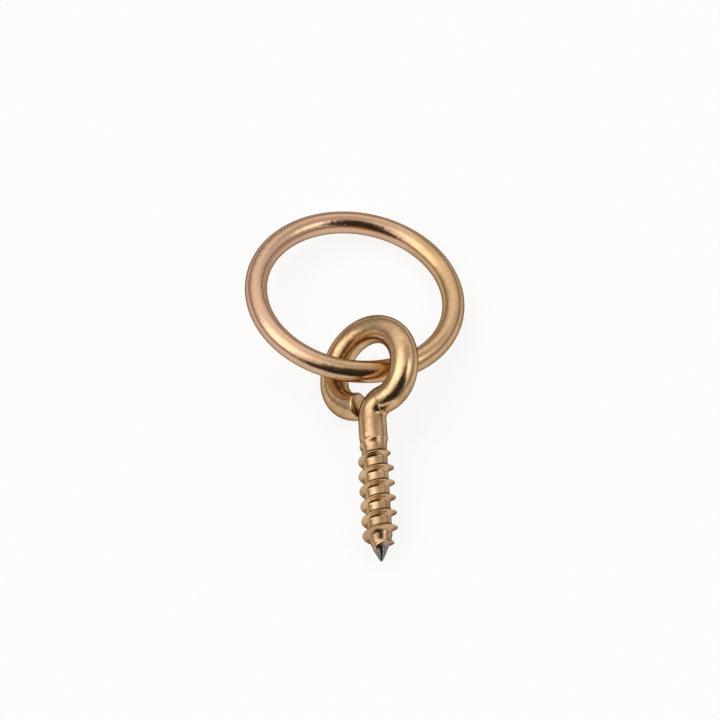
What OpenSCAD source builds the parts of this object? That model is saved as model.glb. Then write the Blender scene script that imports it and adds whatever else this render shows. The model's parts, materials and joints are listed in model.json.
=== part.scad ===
// Screw eye with a loose ring.
// A length of round wire carries a rolled wood thread at one end and is bent
// into an eye at the other. A closed wire ring passes through the eye.
// Millimetres, +Z up. The pair lies on the plane z = 0 as it comes to rest.

/* [Eye] */
// Thickness of the wire of the eye and its plain shank
wire_d = 3.15; // [2.4:0.05:3.4]
// Clear width inside the eye
eye_in_d = 6.8; // [6.4:0.1:9]
// Where the eye starts to close in, as an angle from its right side over the top
curl_from = 175; // [140:5:180]
// Radius on the inside of the wire where the eye closes in
curl_in_r = 2.2; // [1.9:0.1:3]
// Where the eye turns in towards the neck, as an angle below its right side
turn_from = 25; // [10:5:60]
// Radius on the inside of the wire where the eye turns in
turn_in_r = 1.6; // [1.4:0.1:3]
// Radius on the inside of the bend between shank and eye
neck_bend = 0.3; // [0.2:0.1:1.2]
// Gap between the cut end of the eye and the neck
end_gap = 0.15; // [0.1:0.05:0.6]
// Length of plain shank between the neck and the thread
plain_l = 2.4; // [2.2:0.1:6]
// Length over all, from the top of the eye to the point
overall_l = 29.6; // [26:0.2:50]

/* [Thread] */
// Diameter over the crests of the thread
thread_d = 4.1; // [3.6:0.1:4.6]
// Diameter at the root of the thread
root_d = 2.8; // [2.2:0.1:3]
// Advance of the thread in one turn
pitch = 1.8; // [1.5:0.1:1.9]
// Width of the ridge at its foot
ridge_w = 1.15; // [0.8:0.05:1.4]
// Width of the flat on the crest
crest_w = 0.2; // [0.1:0.05:0.4]
// Length of the pointed end
point_l = 3.2; // [2.4:0.1:4.5]
// Turn of the thread about the shank
thread_turn = 170; // [0:10:350]

/* [Ring] */
// Clear width inside the ring
ring_in_d = 19.8; // [18:0.2:30]
// Thickness of the ring's wire
ring_wire_d = 2.5; // [1.6:0.05:2.6]

/* [Lying] */
// Roll of the eye about its shank, propped up by the ring
eye_roll = 39; // [34:1:42]
// Slope of the ring where it passes through the eye
bar_slope = 9; // [8:0.5:14]
// Turn of the ring about the vertical, seen from above
bar_turn = 4; // [0:1:12]

/* [Hidden] */
$fn = 64;

wire_r = wire_d / 2;
loop_r = eye_in_d / 2 + wire_r;
ring_wire_r = ring_wire_d / 2;
ring_r = ring_in_d / 2 + ring_wire_r;

// Low on its right side the eye turns in on a tighter arc. The neck is an arc that bends back
// from there and runs smoothly into the shank's axis
turn_r = turn_in_r + wire_r;
turn_pos = (loop_r - turn_r) * [cos(turn_from), -sin(turn_from)];
neck_r = neck_bend + wire_r;
join_angle = asin((neck_r - turn_pos.x) / (turn_r + neck_r));
neck_drop = (turn_r + neck_r) * cos(join_angle) - turn_pos.y;

// From the left side on, the eye closes in on a tighter arc, until its cut end faces the neck
curl_r = curl_in_r + wire_r;
curl_pos = (loop_r - curl_r) * [cos(curl_from), sin(curl_from)];
to_neck = [neck_r, -neck_drop] - curl_pos;
end_angle = 360 + atan2(to_neck.y, to_neck.x) - asin((neck_r + wire_r + end_gap) / norm(to_neck));

// The wire draws down a hair in the tight bends, most at the neck, and each bend runs a little
// into its thicker neighbours
bend_draw = 0.02;
bend_d = wire_d - bend_draw;
neck_d = bend_d - bend_draw;
lap = 0.1;
neck_lap = lap / neck_r * 180 / PI;
turn_lap = lap / turn_r * 180 / PI;
curl_lap = lap / curl_r * 180 / PI;

// Places along the shank are measured from the centre of the eye
tip_z = overall_l - loop_r - wire_r;
run_in_z = neck_drop + plain_l;

// The thread is wound in small steps that end at the point. Each step holds four points:
// the foot of the ridge, the two edges of its crest, and its other foot
seg = 28;
ridge_h = (thread_d - root_d) / 2;
spots = [0, (ridge_w - crest_w) / 2, (ridge_w + crest_w) / 2, ridge_w];
heights = [0, ridge_h, ridge_h, 0];
sunk_turns = 1.15;
steps = floor(seg * ((tip_z - run_in_z) / pitch + sunk_turns));
last_step = steps - seg;
full_end_z = tip_z - point_l;
fade_l = point_l - pitch;

// The crest that touches the ground is the last full one on the lower side
down_turn = (270 - eye_roll - thread_turn) / 360;
crest_z = tip_z + ridge_w / 2;
touch_z = crest_z + pitch * (floor((full_end_z - crest_z) / pitch - down_turn) + down_turn);

// Height of the eye's centre for a given dip of the shank, and the dip that rests both ends
function eye_height(dip) =
    wire_r + curl_r * sqrt(1 - pow(cos(eye_roll) * cos(dip), 2))
    - curl_pos * [sin(eye_roll) * cos(dip), sin(dip)];
function rest_dip(rounds, dip = 0) =
    rounds == 0 ? dip : rest_dip(rounds - 1, asin((eye_height(dip) - thread_d / 2 * cos(dip)) / touch_z));
shank_dip = rest_dip(8);
eye_h = eye_height(shank_dip);

// The ring hangs down from the eye's centre until its far side meets the ground
rise = (eye_h - ring_wire_r) / ring_r;
ring_swing = asin((pow(sin(bar_slope), 2) - rise * rise) / (2 * rise * cos(bar_slope)));

// The pair is centred over the origin by the reach of the ring and of the point
ring_dir = [cos(bar_turn) * sin(bar_slope) * sin(ring_swing) - sin(bar_turn) * cos(ring_swing),
            sin(bar_turn) * sin(bar_slope) * sin(ring_swing) + cos(bar_turn) * cos(ring_swing)];
ring_normal_y = sin(bar_turn) * sin(bar_slope) * cos(ring_swing) - cos(bar_turn) * sin(ring_swing);
far_y = ring_r * ring_dir.y + ring_r * sqrt(1 - pow(ring_normal_y, 2)) + ring_wire_r;
near_y = -tip_z * cos(shank_dip);
eye_pos = [-ring_r * ring_dir.x, -(far_y + near_y) / 2, eye_h];

// Radius of the core: plain down to the point, then a cone
function core_r(z) = root_d / 2 * min(1, max(0, (tip_z - z) / point_l));
// Share of the full ridge height, rising out of the shank and dying away on the point
function ridge_share(z) =
    min(1, max(0, (z - run_in_z) / pitch), max(0, (full_end_z + fade_l - z) / fade_l));
// Spot of the ridge at a step of the winding
function wound_point(spot, step) =
    let (z = tip_z - pitch * (steps - step) / seg + spots[spot])
    let (r = core_r(z) + heights[spot] * ridge_share(z), angle = 360 * (step - steps) / seg)
    [r * cos(angle), r * sin(angle), z];
// Index of that point: whole steps first, then the lone feet of the last turn.
// After the last spot comes the first foot, one turn further on
function wound_index(spot, step) =
    spot == len(spots) ? wound_index(0, step + seg)
    : step <= last_step ? step * len(spots) + spot
    : last_step * (len(spots) - 1) + len(spots) - 1 + step;
// Threaded core along +Z, from inside the plain shank to the sharp point
module threaded_core() {
    tip = wound_index(0, steps);
    top = tip + 1;
    beside_tip = wound_index(0, last_step + 1);
    points = [
        for (step = [0 : last_step], spot = [0 : len(spots) - 1]) wound_point(spot, step),
        for (step = [last_step + 1 : steps]) wound_point(0, step),
        [0, 0, wound_point(0, 0).z]
    ];
    sides = [
        for (step = [0 : last_step - 1], spot = [0 : len(spots) - 1])
            let (a = wound_index(spot, step), b = wound_index(spot, step + 1))
            let (c = wound_index(spot + 1, step + 1), d = wound_index(spot + 1, step))
            each [[a, d, c], [a, c, b]]
    ];
    top_cap = [
        for (step = [0 : seg - 1]) [wound_index(0, step), wound_index(0, step + 1), top],
        for (spot = [0 : len(spots) - 1]) [wound_index(spot + 1, 0), wound_index(spot, 0), top]
    ];
    point_cap = [
        for (step = [last_step + 1 : steps - 2]) [wound_index(0, step + 1), wound_index(0, step), tip],
        for (spot = [0 : len(spots) - 1])
            [wound_index(spot, last_step), wound_index(spot + 1, last_step), beside_tip]
    ];
    polyhedron(points = points, faces = concat(sides, top_cap, point_cap), convexity = 8);
}

// Plain shank along +Z, coned off at its end to run into the core of the thread
module plain_shank() {
    cone_r = root_d / 4;
    rotate_extrude()
        polygon([
            [0, neck_drop],
            [wire_r, neck_drop],
            [wire_r, run_in_z],
            [cone_r, run_in_z + wire_r - cone_r],
            [0, run_in_z + wire_r - cone_r]
        ]);
}

// Wire bent along part of a circle about the origin, from one angle over a sweep
module bent_wire(bend_r, from_angle, sweep, d) {
    rotate([0, 0, from_angle])
        rotate_extrude(angle = sweep)
            translate([bend_r, 0])
                circle(d = d);
}

// The eye lies in its XY plane about the origin, with the shank along -Y
module screw_eye_flat() {
    bent_wire(loop_r, -turn_from, curl_from + turn_from, wire_d);
    translate(turn_pos)
        bent_wire(turn_r, join_angle - 90, 90 - join_angle - turn_from + turn_lap, bend_d);
    translate(curl_pos)
        bent_wire(curl_r, curl_from - curl_lap, end_angle - curl_from + curl_lap, bend_d);
    translate([neck_r, -neck_drop, 0])
        bent_wire(neck_r, 90 + join_angle - neck_lap, 90 - join_angle + 2 * neck_lap, neck_d);
    rotate([90, 0, 0]) {
        plain_shank();
        rotate([0, 0, thread_turn])
            threaded_core();
    }
}

module screw_eye() {
    color("#b98d5c")
        translate(eye_pos)
            rotate([shank_dip, 0, 0])
                rotate([0, -eye_roll, 0])
                    screw_eye_flat();
}

module ring() {
    color("#b5835a")
        translate(eye_pos)
            rotate([0, 0, bar_turn])
                rotate([0, bar_slope, 0])
                    rotate([ring_swing, 0, 0])
                        translate([0, ring_r, 0])
                            bent_wire(ring_r, 0, 360, ring_wire_d);
}

screw_eye();
ring();
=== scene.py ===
import json
import bpy
import numpy as np
from mathutils import Matrix, Vector


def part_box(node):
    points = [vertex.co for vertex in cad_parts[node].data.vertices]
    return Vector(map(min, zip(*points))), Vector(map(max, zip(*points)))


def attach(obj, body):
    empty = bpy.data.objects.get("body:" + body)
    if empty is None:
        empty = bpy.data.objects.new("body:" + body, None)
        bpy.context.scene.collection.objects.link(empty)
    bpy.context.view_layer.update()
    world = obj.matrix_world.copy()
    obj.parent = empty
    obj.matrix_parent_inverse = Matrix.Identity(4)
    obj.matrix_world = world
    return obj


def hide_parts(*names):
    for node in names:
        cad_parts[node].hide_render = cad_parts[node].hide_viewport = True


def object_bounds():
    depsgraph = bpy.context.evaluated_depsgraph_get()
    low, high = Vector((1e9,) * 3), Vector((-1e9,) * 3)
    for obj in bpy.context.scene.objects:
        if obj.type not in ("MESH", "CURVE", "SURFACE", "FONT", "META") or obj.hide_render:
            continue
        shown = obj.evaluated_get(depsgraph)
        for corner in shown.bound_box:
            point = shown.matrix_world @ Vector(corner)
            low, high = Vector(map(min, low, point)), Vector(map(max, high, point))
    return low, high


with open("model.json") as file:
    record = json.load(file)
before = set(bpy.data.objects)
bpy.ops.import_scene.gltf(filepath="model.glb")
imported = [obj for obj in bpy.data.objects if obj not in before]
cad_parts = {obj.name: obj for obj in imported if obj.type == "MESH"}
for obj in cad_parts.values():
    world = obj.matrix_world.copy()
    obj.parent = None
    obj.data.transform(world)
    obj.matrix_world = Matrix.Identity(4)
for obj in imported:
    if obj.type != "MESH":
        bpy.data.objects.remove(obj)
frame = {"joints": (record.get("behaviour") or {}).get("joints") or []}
cad_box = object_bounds()

# The screw eye is one length of steel wire, plated in brass. A wood thread is rolled on one end
# down to a gimlet point. The other end is bent through a tight neck into an eye, until its
# sheared end stops against the neck. The eye lies rolled over, propped up by the ring.
eye_centre = np.array(frame["joints"][0]["pos_m"]) * 1000
eye_roll = np.radians(39)
shank_dip = np.radians(8.345)
wire_r = 1.575
loop_r = 4.975
turn_from = np.radians(25)
turn_r = 3.175
turn_centre = (loop_r - turn_r) * np.array([np.cos(turn_from), -np.sin(turn_from)])
neck_r = 1.875
join_angle = np.arcsin((neck_r - turn_centre[0]) / (turn_r + neck_r))
neck_drop = (turn_r + neck_r) * np.cos(join_angle) - turn_centre[1]
curl_from = np.radians(175)
curl_r = 3.775
end_gap = 0.15
curl_centre = (loop_r - curl_r) * np.array([np.cos(curl_from), np.sin(curl_from)])
to_neck = np.array([neck_r, -neck_drop]) - curl_centre
end_angle = 2 * np.pi + np.arctan2(to_neck[1], to_neck[0])
end_angle = end_angle - np.arcsin((neck_r + wire_r + end_gap) / np.linalg.norm(to_neck))
plain_l = 2.4
run_in_z = neck_drop + plain_l
tip_z = 23.05
point_l = 3.2
blunt_l = 0.15
root_r = 1.4
ridge_h = 0.65
ridge_w = 1.15
pitch = 1.8
thread_turn = np.radians(170)
full_side = np.radians(-62)
foot_round = 0.05
crest_half_w = 0.05
flank_hollow = 1.7
run_in_l = 4.32
sheared_round = 0.25


def smooth(x):
    """Rises from 0 to 1 as x goes from 0 to 1, level at both ends: 3x squared less 2x cubed."""
    x = np.clip(x, 0, 1)
    return x * x * (3 - 2 * x)


def wire_line():
    """Centre line of the wire in the plane of the eye, from the point to the sheared end.

    A straight run up the shank, an arc of the neck's radius that turns right, a tight arc that turns
    left, a circle anticlockwise over the top of the eye, and a tighter arc on which it closes in. Gives
    places, directions and the distance of each place from the eye's centre along the shank, with the
    rows packed close where the thread and the sheared end are.
    """
    threaded_end = run_in_z - 0.6
    z = np.linspace(tip_z - blunt_l, threaded_end, 330)
    z = np.r_[z, np.linspace(threaded_end - 0.05, neck_drop, 16)]
    shank = np.stack([0 * z, -z], 1)
    shank_way = np.stack([0 * z, 0 * z + 1], 1)
    a = np.linspace(np.pi, np.pi / 2 + join_angle, 32)[1:]
    neck = np.stack([neck_r + neck_r * np.cos(a), neck_r * np.sin(a) - neck_drop], 1)
    neck_way = np.stack([np.sin(a), -np.cos(a)], 1)
    edge = end_angle - sheared_round / curl_r * np.linspace(1, 0, 12)
    a = np.r_[np.linspace(join_angle - np.pi / 2, edge[0], 260)[1:], edge[1:]]
    arcs = [a < -turn_from, a > curl_from]
    bend_r = np.select(arcs, [turn_r, curl_r], loop_r)
    bend_centre = np.select([arc[:, None] for arc in arcs], [turn_centre, curl_centre], 0)
    loop = bend_r[:, None] * np.stack([np.cos(a), np.sin(a)], 1) + bend_centre
    loop_way = np.stack([-np.sin(a), np.cos(a)], 1)
    places = np.concatenate([shank, neck, loop])
    ways = np.concatenate([shank_way, neck_way, loop_way])
    return places, ways, np.r_[z, np.full(len(neck) + len(loop), neck_drop)]


def thread_share(z, turn):
    """How far each spot stands up on the ridge, 0 to 1, bare and as it is rolled.

    Across the ridge it is the share of the flank's width that is left, to a power that hollows the
    flanks. The ridge winds one pitch for each full turn, and fades in at the shank and out on the
    point. It is rolled a little unevenly: full on one side of the shank and lower on the other.
    """
    across = (z - tip_z - ridge_w / 2) / pitch - (turn - thread_turn) / (2 * np.pi)
    across = np.abs(across - np.round(across)) * pitch
    foot = ridge_w / 2 - foot_round
    hump = np.clip((foot - across) / (foot - crest_half_w), 0, 1) ** flank_hollow
    fade = smooth((z - run_in_z + 0.7) / run_in_l) * smooth((tip_z - 1.0 - z) / (point_l - 1.2))
    rolled = 0.9 + 0.1 * np.cos(turn - full_side)
    return hump, hump * fade * rolled


def wire_mesh(name, points, caps):
    """Skins a grid of points in millimetres, rows along a wire and columns round it, closed round each row.

    With two caps the ends close on those points, and without caps the last row joins the first.
    """
    rows, columns = points.shape[:2]
    i, j = np.meshgrid(np.arange(rows if caps is None else rows - 1), np.arange(columns), indexing="ij")
    i_next, j_next = (i + 1) % rows, (j + 1) % columns
    corners = [(i, j), (i_next, j), (i_next, j_next), (i, j_next)]
    faces = np.stack([row * columns + column for row, column in corners], -1).reshape(-1, 4).tolist()
    points = points.reshape(-1, 3)
    if caps is not None:
        column = np.arange(columns)
        start, end = len(points), len(points) + 1
        beside = (column + 1) % columns
        last_row = (rows - 1) * columns
        faces += np.stack([column, beside, np.full(columns, start)], 1).tolist()
        faces += np.stack([last_row + beside, last_row + column, np.full(columns, end)], 1).tolist()
        points = np.concatenate([points, caps])
    mesh = bpy.data.meshes.new(name)
    mesh.from_pydata((points / 1000).tolist(), [], faces)
    mesh.shade_smooth()
    piece = bpy.data.objects.new(name, mesh)
    bpy.context.scene.collection.objects.link(piece)
    return piece


def keep_on_points(piece, name, values, caps=(0, 0)):
    """Stores a value for each grid point, and for the end points where there are caps, on the mesh."""
    values = np.r_[values.ravel(), caps]
    piece.data.attributes.new(name, "FLOAT", "POINT").data.foreach_set("value", values)


places, ways, z = wire_line()
turn = np.linspace(0, 2 * np.pi, 97)[:-1]
hump, ridge = thread_share(z[:, None], turn[None])
core = root_r + (wire_r - root_r) * smooth((run_in_z + 1.4 - z) / 1.8)
core = core * np.clip((tip_z - z) / point_l, 0, 1) ** 0.8
left = np.cumsum(np.r_[0, np.linalg.norm(np.diff(places, axis=0), axis=1)])
left = left[-1] - left
past_edge = np.clip(sheared_round - left, 0, sheared_round)
core = core - sheared_round + np.sqrt(sheared_round ** 2 - past_edge ** 2)
radius = core[:, None] + ridge_h * ridge
out = np.stack([ways[:, 1], -ways[:, 0], 0 * z], 1)
centre_line = np.c_[places, 0 * z]
flat = centre_line[:, None] + radius[..., None] * (
    np.cos(turn)[None, :, None] * out[:, None] + np.sin(turn)[None, :, None] * np.array([0, 0, 1]))
lay = np.array(Matrix.Rotation(shank_dip, 3, "X") @ Matrix.Rotation(-eye_roll, 3, "Y"))
ends = np.array([centre_line[0], centre_line[-1]]) @ lay.T + eye_centre
screw = wire_mesh("screw_eye_wire", flat @ lay.T + eye_centre, ends)
threaded = smooth((z - run_in_z + 0.3) / 1.5)[:, None]
# Painted shade: the thread roots and the sheared end face are darkened towards the dark colour, the end
# face the most.
end_face_shade_level = 1.4
end_face_shade = end_face_shade_level * smooth((0.12 - left) / 0.1)[:, None]
root = threaded * (1 - hump) * smooth((tip_z - z) / 2)[:, None]
keep_on_points(screw, "root", np.maximum(root, end_face_shade), [0, end_face_shade_level])
# The crests are lighter where the plating wears, and the whole threaded part is painted lighter as a
# painted sheen.
keep_on_points(screw, "crest", np.maximum(smooth((ridge - 0.75) / 0.25), 0.9 * threaded))
worn_l = 2.3
worn = smooth((z[:, None] - tip_z + worn_l + 0.35 * np.cos(2 * turn)) / 1.1)
keep_on_points(screw, "bare", worn, [1, 0])


def brass_finish():
    """Plated brass as a node group: colour that drifts between bright and tarnished in soft clouds, small
    dark pits, painted shade in hollows, brighter worn edges with a painted sheen, and a height of shallow
    dents and pits."""
    group = bpy.data.node_groups.new("plated_brass", "ShaderNodeTree")
    face = group.interface
    for name, kind in (("Bright", "Color"), ("Tarnish", "Color"), ("Pits and Shade", "Color"), ("Painted Shade", "Float"),
                       ("Wear and Sheen", "Float"), ("Cloud Scale", "Float")):
        face.new_socket(name, in_out="INPUT", socket_type="NodeSocket" + kind)
    for name, kind in (("Color", "Color"), ("Roughness", "Float"), ("Height", "Float")):
        face.new_socket(name, in_out="OUTPUT", socket_type="NodeSocket" + kind)
    nodes, links = group.nodes, group.links
    given = nodes.new("NodeGroupInput")
    result = nodes.new("NodeGroupOutput")
    where = nodes.new("ShaderNodeTexCoord").outputs["Object"]

    def noise(scale, detail, roughness):
        node = nodes.new("ShaderNodeTexNoise")
        links.new(where, node.inputs["Vector"])
        if isinstance(scale, float):
            node.inputs["Scale"].default_value = scale
        else:
            links.new(scale, node.inputs["Scale"])
        node.inputs["Detail"].default_value = detail
        node.inputs["Roughness"].default_value = roughness
        return node.outputs["Fac"]

    def spread(value, low, high, to_low, to_high):
        node = nodes.new("ShaderNodeMapRange")
        links.new(value, node.inputs["Value"])
        ends = {"From Min": low, "From Max": high, "To Min": to_low, "To Max": to_high}
        for place, number in ends.items():
            node.inputs[place].default_value = number
        return node.outputs["Result"]

    def reckon(kind, first, second):
        node = nodes.new("ShaderNodeMath")
        node.operation = kind
        for socket, value in zip(node.inputs, (first, second)):
            if isinstance(value, float):
                socket.default_value = value
            else:
                links.new(value, socket)
        return node.outputs["Value"]

    def mix(share, first, second):
        node = nodes.new("ShaderNodeMix")
        node.data_type = "RGBA"
        links.new(share, node.inputs["Factor"])
        links.new(first, node.inputs["A"])
        links.new(second, node.inputs["B"])
        return node.outputs["Result"]

    cloud = noise(given.outputs["Cloud Scale"], 3.0, 0.55)
    grain = noise(2600.0, 2.0, 0.6)
    pit = spread(noise(1900.0, 1.0, 0.5), 0.72, 0.80, 0.0, 1.0)
    tarnished = reckon("ADD", spread(cloud, 0.38, 0.68, 0.0, 0.75), spread(grain, 0.3, 0.7, 0.0, 0.2))
    colour = mix(tarnished, given.outputs["Bright"], given.outputs["Tarnish"])
    colour = mix(reckon("MULTIPLY", given.outputs["Wear and Sheen"], 0.6), colour, given.outputs["Bright"])
    # Painted shade: the hollow share, broken up by the clouds, darkens the colour towards the dark colour,
    # which the small pits take too.
    painted_shade_share = reckon("MULTIPLY", spread(cloud, 0.3, 0.7, 0.05, 0.3), given.outputs["Painted Shade"])
    colour = mix(reckon("MAXIMUM", painted_shade_share, reckon("MULTIPLY", pit, 0.4)), colour, given.outputs["Pits and Shade"])
    links.new(colour, result.inputs["Color"])
    rough = reckon("ADD", spread(cloud, 0.35, 0.7, 0.15, 0.24), spread(grain, 0.35, 0.65, 0.0, 0.06))
    rough = reckon("ADD", rough, reckon("MULTIPLY", painted_shade_share, 0.2))
    links.new(rough, result.inputs["Roughness"])
    dents = reckon("MULTIPLY", noise(900.0, 2.0, 0.5), 0.8)
    height = reckon("SUBTRACT", dents, reckon("MULTIPLY", pit, 0.5))
    links.new(reckon("ADD", height, reckon("MULTIPLY", grain, 0.15)), result.inputs["Height"])
    return group


def brass_material(name, group, bright, tarnish, pits_and_shade, cloud_scale):
    """Metal that takes its colour, roughness and bump from the brass group, with colours of its own."""
    material = bpy.data.materials.new(name)
    material.use_nodes = True
    nodes, links = material.node_tree.nodes, material.node_tree.links
    metal = nodes["Principled BSDF"]
    metal.inputs["Metallic"].default_value = 1.0
    # A dark edge tint gives painted shade along the outlines of the wires.
    metal.inputs["Specular Tint"].default_value = (0.24, 0.2, 0.18, 1)
    finish = nodes.new("ShaderNodeGroup")
    finish.node_tree = group
    for socket, colour in (("Bright", bright), ("Tarnish", tarnish), ("Pits and Shade", pits_and_shade)):
        finish.inputs[socket].default_value = (*colour, 1)
    finish.inputs["Cloud Scale"].default_value = cloud_scale
    links.new(finish.outputs["Color"], metal.inputs["Base Color"])
    links.new(finish.outputs["Roughness"], metal.inputs["Roughness"])
    bump = nodes.new("ShaderNodeBump")
    bump.inputs["Strength"].default_value = 0.35
    bump.inputs["Distance"].default_value = 0.00012
    links.new(finish.outputs["Height"], bump.inputs["Height"])
    links.new(bump.outputs["Normal"], metal.inputs["Normal"])
    return material, finish, metal


plated_brass = brass_finish()
screw_brass, finish, metal = brass_material(
    "screw_brass", plated_brass, bright=(0.68, 0.46, 0.262), tarnish=(0.41, 0.25, 0.13),
    pits_and_shade=(0.07, 0.036, 0.017), cloud_scale=330)
nodes, links = screw_brass.node_tree.nodes, screw_brass.node_tree.links
# The thread roots and the sheared end get painted shade, and the threaded part gets worn crests and a
# painted sheen.
for name, socket in (("root", "Painted Shade"), ("crest", "Wear and Sheen")):
    mask = nodes.new("ShaderNodeAttribute")
    mask.attribute_name = name
    links.new(mask.outputs["Fac"], finish.inputs[socket])
# Where the plating has worn off the point, grey steel shows
bare = nodes.new("ShaderNodeAttribute")
bare.attribute_name = "bare"
steel = nodes.new("ShaderNodeMix")
steel.data_type = "RGBA"
steel.inputs["B"].default_value = (0.26, 0.24, 0.22, 1)
links.new(bare.outputs["Fac"], steel.inputs["Factor"])
links.new(finish.outputs["Color"], steel.inputs["A"])
links.new(steel.outputs["Result"], metal.inputs["Base Color"])
screw.data.materials.append(screw_brass)
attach(screw, "screw_eye")
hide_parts("screw_eye")

# The ring is a length of thinner brass-plated wire, bent into a circle through the eye and closed.
# It hangs loose: the near side rides in the eye, and the far side lies on the ground.
ring_wire_r = 1.25
ring_r = 11.15
ring_low, ring_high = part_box("ring")
ring_centre = np.array((ring_low + ring_high) / 2) * 1000
along = np.array(frame["joints"][0]["axis"])
away = ring_centre - eye_centre
away = away - along * (away @ along)
away = away / np.linalg.norm(away)
upright = np.cross(along, away)


def round_ring():
    """A small circle carried round a large one: the large circle turns from the far side of the ring
    in its own plane, and the small one from the outside of the wire under its bottom."""
    a = np.linspace(0, 2 * np.pi, 289)[:-1]
    outward = np.cos(a)[:, None] * away + np.sin(a)[:, None] * along
    b = np.linspace(0, 2 * np.pi, 49)[:-1]
    reach = ring_r + ring_wire_r * np.cos(b)
    height = -ring_wire_r * np.sin(b)
    return ring_centre + outward[:, None] * reach[None, :, None] + height[None, :, None] * upright


ring_points = round_ring()
ring = wire_mesh("ring_wire", ring_points, None)
thinnest = 0.65
thick_side = along - 0.6 * away
thick_side = thick_side / np.linalg.norm(thick_side)
thin_plate = thinnest * smooth(0.5 - (ring_points - ring_centre) @ thick_side / (1.6 * ring_r))
keep_on_points(ring, "thin_plate", thin_plate, [])
ring_brass, finish, metal = brass_material(
    "ring_brass", plated_brass, bright=(0.655, 0.425, 0.25), tarnish=(0.49, 0.32, 0.15),
    pits_and_shade=(0.08, 0.04, 0.022), cloud_scale=140)
nodes, links = ring_brass.node_tree.nodes, ring_brass.node_tree.links
# The plating is thinner on one side of the ring, which takes a copper tint there
thin = nodes.new("ShaderNodeAttribute")
thin.attribute_name = "thin_plate"
copper = nodes.new("ShaderNodeMix")
copper.data_type = "RGBA"
copper.inputs["B"].default_value = (0.67, 0.425, 0.315, 1)
links.new(thin.outputs["Fac"], copper.inputs["Factor"])
links.new(finish.outputs["Color"], copper.inputs["A"])
links.new(copper.outputs["Result"], metal.inputs["Base Color"])
ring.data.materials.append(ring_brass)
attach(ring, "ring")
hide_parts("ring")

# The floor is a wide sheet of white board that the screw eye lies on.
# It shows white to the camera and in the metal, and keeps a soft shadow.
board_half = 3.0
board_mesh = bpy.data.meshes.new("white_board")
board_mesh.from_pydata([(-board_half, -board_half, 0), (board_half, -board_half, 0),
                        (board_half, board_half, 0), (-board_half, board_half, 0)], [], [(0, 1, 2, 3)])
board = bpy.data.objects.new("white_board", board_mesh)
bpy.context.scene.collection.objects.link(board)
board_gap = 0.00002
board.location.z = cad_box[0].z - board_gap
board_white = bpy.data.materials.new("board_white")
board_white.use_nodes = True
nodes, links = board_white.node_tree.nodes, board_white.node_tree.links
matt = nodes["Principled BSDF"]
matt.inputs["Base Color"].default_value = (0.92, 0.92, 0.92, 1)
matt.inputs["Roughness"].default_value = 0.9
matt.inputs["Specular IOR Level"].default_value = 0.0
glow = nodes.new("ShaderNodeEmission")
seen = nodes.new("ShaderNodeLightPath")
either = nodes.new("ShaderNodeMath")
either.operation = "MAXIMUM"
links.new(seen.outputs["Is Camera Ray"], either.inputs[0])
links.new(seen.outputs["Is Glossy Ray"], either.inputs[1])
any_of = nodes.new("ShaderNodeMath")
any_of.operation = "MAXIMUM"
links.new(either.outputs[0], any_of.inputs[0])
links.new(seen.outputs["Is Transmission Ray"], any_of.inputs[1])
white_share = nodes.new("ShaderNodeMath")
white_share.operation = "MULTIPLY"
white_share.inputs[1].default_value = 0.87
links.new(any_of.outputs[0], white_share.inputs[0])
blend = nodes.new("ShaderNodeMixShader")
links.new(white_share.outputs[0], blend.inputs["Fac"])
links.new(matt.outputs[0], blend.inputs[1])
links.new(glow.outputs[0], blend.inputs[2])
links.new(blend.outputs[0], nodes["Material Output"].inputs["Surface"])
board_mesh.materials.append(board_white)

# Light comes from a pale room, brighter overhead, with a large soft light high on the left and a
# smaller one on the right that draw the bright lines along the wires. The room is dark in front.
world = bpy.data.worlds.new("pale_room")
bpy.context.scene.world = world
world.use_nodes = True
nodes, links = world.node_tree.nodes, world.node_tree.links
way = nodes.new("ShaderNodeTexCoord")


def patch(direction, wide, narrow):
    """Share of a round patch of the room: 0 beyond the wide angle from its middle, 1 within the narrow."""
    facing = nodes.new("ShaderNodeVectorMath")
    facing.operation = "DOT_PRODUCT"
    links.new(way.outputs["Generated"], facing.inputs[0])
    facing.inputs[1].default_value = Vector(direction).normalized()
    share = nodes.new("ShaderNodeMapRange")
    share.interpolation_type = "SMOOTHSTEP"
    share.inputs["From Min"].default_value = np.cos(np.radians(wide))
    share.inputs["From Max"].default_value = np.cos(np.radians(narrow))
    links.new(facing.outputs["Value"], share.inputs["Value"])
    return share.outputs["Result"]


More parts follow.
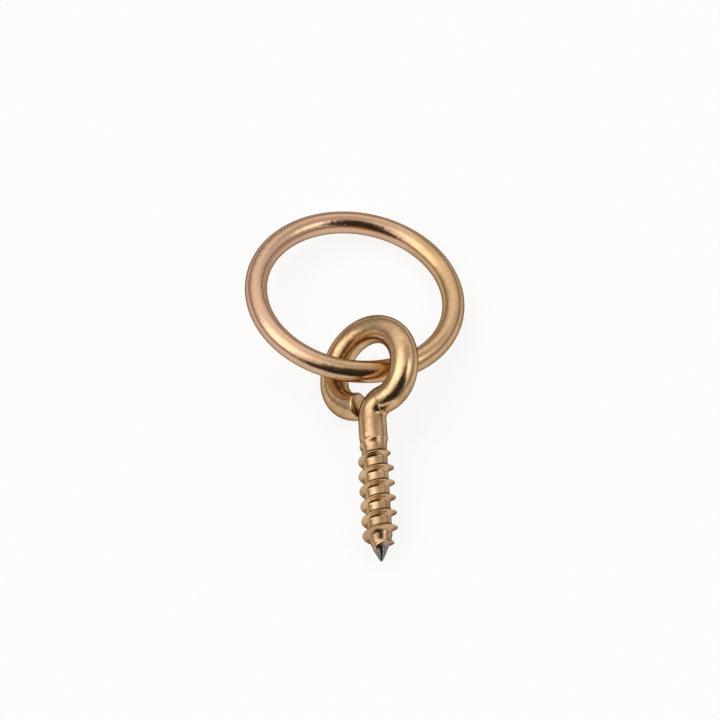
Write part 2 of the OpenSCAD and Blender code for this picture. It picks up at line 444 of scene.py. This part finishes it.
def painted(share, under, colour):
    """Lays a colour over what is there, by the share given."""
    node = nodes.new("ShaderNodeMix")
    node.data_type = "RGBA"
    links.new(share, node.inputs["Factor"])
    if isinstance(under, tuple):
        node.inputs["A"].default_value = (*under, 1)
    else:
        links.new(under, node.inputs["A"])
    node.inputs["B"].default_value = (*colour, 1)
    return node.outputs["Result"]


horizon = (0.30, 0.29, 0.28)
overhead = (1.22, 1.2, 1.17)
dim_corner = (0.66, 0.64, 0.61)
dim_gap = (0.35, 0.33, 0.31)
dark_front = (0.035, 0.03, 0.025)
room = painted(patch((0, 0, 1), 85, 45), horizon, overhead)
room = painted(patch((0.47, 0.27, 0.84), 32, 14), room, dim_corner)
room = painted(patch((0.29, -0.24, 0.93), 18, 9), room, dim_gap)
room = painted(patch((0.16, -0.65, 0.74), 33, 25), room, dark_front)
room = painted(patch((-0.20, -0.93, 0.31), 38, 29), room, dark_front)
upper_left_light = (2.15, 2.1, 1.97)
lower_left_light = (2.35, 2.3, 2.15)
right_light = (2.5, 2.45, 2.3)
room = painted(patch((-0.49, 0.09, 0.87), 24, 12), room, upper_left_light)
room = painted(patch((-0.78, -0.07, 0.62), 24, 12), room, lower_left_light)
room = painted(patch((0.68, -0.14, 0.72), 16, 8), room, right_light)
links.new(room, nodes["Background"].inputs["Color"])

# The camera looks down on the pair from in front, through a long lens.
# It stands a little to one side and is tipped slightly about its line of sight.
view_turn = np.radians(-2.65)
view_down = np.radians(56.615)
view_roll = np.radians(-0.78)
stand_off = Vector((-0.000065, 0.003738, 0.763))
camera = bpy.data.cameras.new("camera")
camera.sensor_width = 36
camera.lens = 342.13
camera.dof.use_dof = False
camera_holder = bpy.data.objects.new("camera", camera)
bpy.context.scene.collection.objects.link(camera_holder)
stand = Matrix.Rotation(view_turn, 3, "Z") @ Matrix.Rotation(np.pi / 2 - view_down, 3, "X")
stand = stand @ Matrix.Rotation(view_roll, 3, "Z")
camera_holder.location = stand @ stand_off
camera_holder.rotation_euler = stand.to_euler()
bpy.context.scene.camera = camera_holder
bpy.context.scene.view_settings.view_transform = "Standard"
